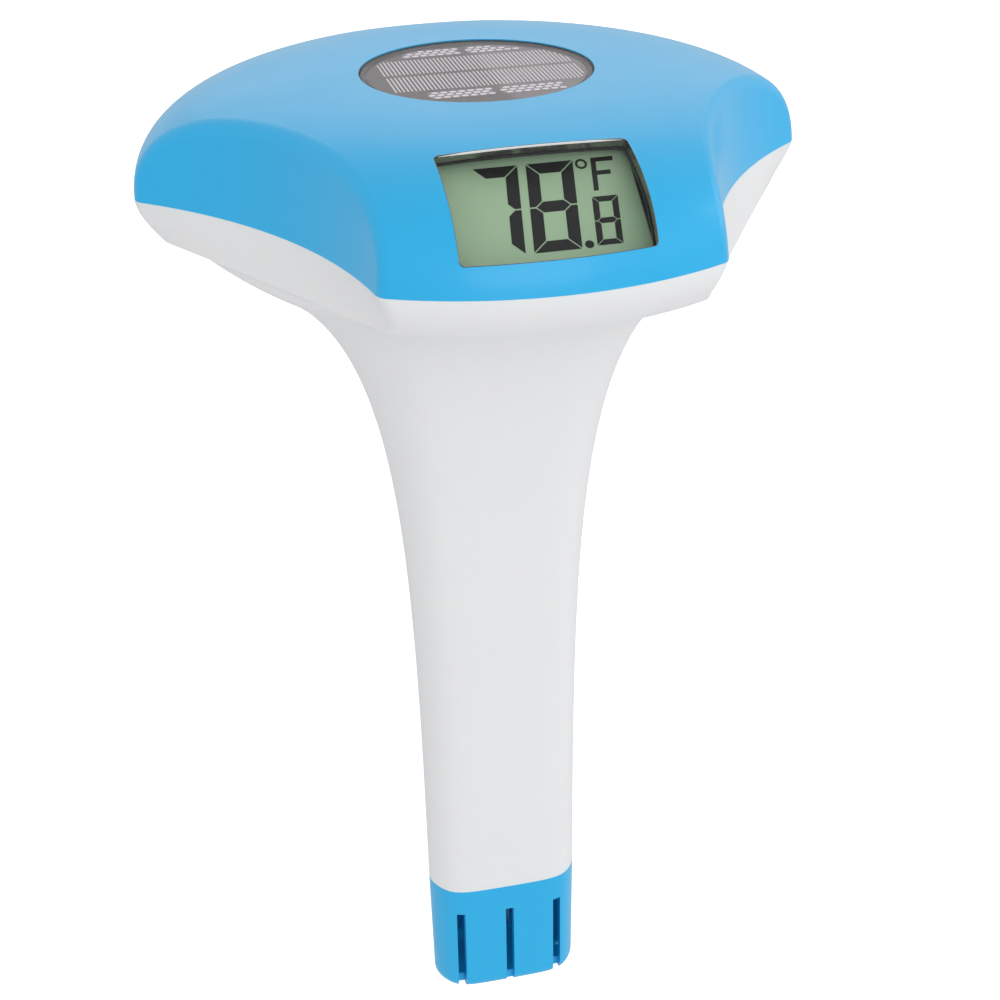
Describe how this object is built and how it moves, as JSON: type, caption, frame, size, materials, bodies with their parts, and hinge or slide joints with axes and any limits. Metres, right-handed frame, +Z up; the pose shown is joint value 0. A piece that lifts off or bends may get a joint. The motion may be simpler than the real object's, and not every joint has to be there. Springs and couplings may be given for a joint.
{
  "type": "floating pool thermometer",
  "caption": "Three-lobed floating thermometer with a domed top, tilted display, solar window and a hollow stem ending in a slotted sensor guard.",
  "frame": {"origin": "centre of the sensor guard's flat base", "axes": "+Z up the stem to the dome, display towards -Y, +X to the viewer's right"},
  "size_m": [0.1496, 0.1379, 0.2425],
  "materials": {
    "blue_shell": "satin-gloss moulded ABS",
    "white_shell": "satin-gloss moulded ABS",
    "rubber": "soft moulded",
    "button_rubber": "fine matt key",
    "clear_lens": "polished clear",
    "dark_plastic": "fine texture",
    "display_glass": "polarised, green-grey",
    "display_ink": "dark display strokes",
    "reflector": "brushed film",
    "zebra": "layered elastomer",
    "board_green": "solder mask",
    "epoxy": "potted",
    "steel": "satin",
    "spring_steel": "nickel-plated",
    "cast_weight": "as cast",
    "ceramic": "fired",
    "ivory_plastic": "moulded",
    "grey_plastic": "moulded",
    "solar_cell": "thin film cell",
    "wire_red": "insulation",
    "cable_black": "insulation"
  },
  "bodies": {
    "float_body": {"battery_cell": "steel", "battery_contacts": "spring_steel", "battery_holder": "dark_plastic", "battery_leads": "wire_red", "board_capacitors": "ceramic", "board_screws": "steel", "cable_header": "ivory_plastic", "cable_plug": "ivory_plastic", "controller_blob": "epoxy", "counterweight": "cast_weight", "housing_seal": "rubber", "inner_tray": "grey_plastic", "lcd_frame": "dark_plastic", "lcd_gasket": "rubber", "lcd_panel": "display_glass", "lcd_reflector": "reflector", "lcd_segments": "display_ink", "lcd_window": "clear_lens", "lower_housing": "white_shell", "main_board": "board_green", "probe_filling": "epoxy", "probe_grommet": "rubber", "probe_sleeve": "steel", "quartz_crystal": "steel", "sensor_cable": "cable_black", "solar_gasket": "rubber", "solar_leads": "wire_red", "solar_panel": "solar_cell", "solar_window": "clear_lens", "switch_board": "board_green", "switch_body": "dark_plastic", "switch_leads": "wire_red", "switch_screws": "steel", "thermistor": "epoxy", "top_cover": "blue_shell", "tray_screws": "steel", "weight_retainer": "dark_plastic", "zebra_connectors": "zebra"},
    "guard": {"sensor_guard": "blue_shell"},
    "button": {"unit_button": "button_rubber", "button_seal": "rubber"},
    "plunger": {"switch_plunger": "grey_plastic"}
  },
  "joints": [
    {"name": "guard_pull", "type": "slide", "parent": "float_body", "child": "guard", "axis": [0, 0, -1], "range_m": [0, 0.036]},
    {"name": "button_press", "type": "slide", "parent": "float_body", "child": "button", "axis": [0, -1, 0], "range_m": [0, 0.0006], "stiffness_N_per_m": 750},
    {"name": "plunger_press", "type": "slide", "parent": "float_body", "child": "plunger", "axis": [0, -1, 0], "range_m": [0, 0.0006]}
  ],
  "couplings": [
    {"joint": "plunger_press", "follows": "button_press", "ratio": 1}
  ]
}
